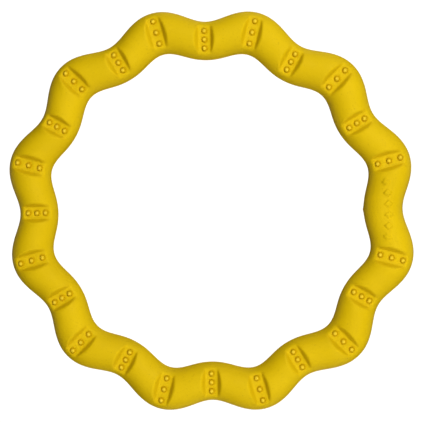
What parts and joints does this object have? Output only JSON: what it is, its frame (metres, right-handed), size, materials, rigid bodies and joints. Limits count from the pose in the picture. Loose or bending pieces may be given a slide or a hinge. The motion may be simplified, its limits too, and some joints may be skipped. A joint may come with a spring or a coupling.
{
  "type": "juggling ring",
  "caption": "Thick wavy soft-grip juggling ring of round section, with finger notches across each wave on both faces, each notch holding a row of raised studs.",
  "frame": {"origin": "centre of the ring, on its spin axis, at the mid plane where the two halves meet", "axes": "+Z along the spin axis, out of the face that carries the mark; +X from the centre through the middle of the plain marked field, which is a trough of the wave; +Y completes a right-handed frame"},
  "size_m": [0.3112, 0.3112, 0.03],
  "materials": {
    "foam_rubber": "matte",
    "rod_plastic": "satin",
    "ferrule_aluminium": "satin"
  },
  "bodies": {
    "root": {"upper_half": "foam_rubber", "lower_half": "foam_rubber", "core_hoop": "rod_plastic", "hoop_ferrule": "ferrule_aluminium"}
  },
  "joints": []
}
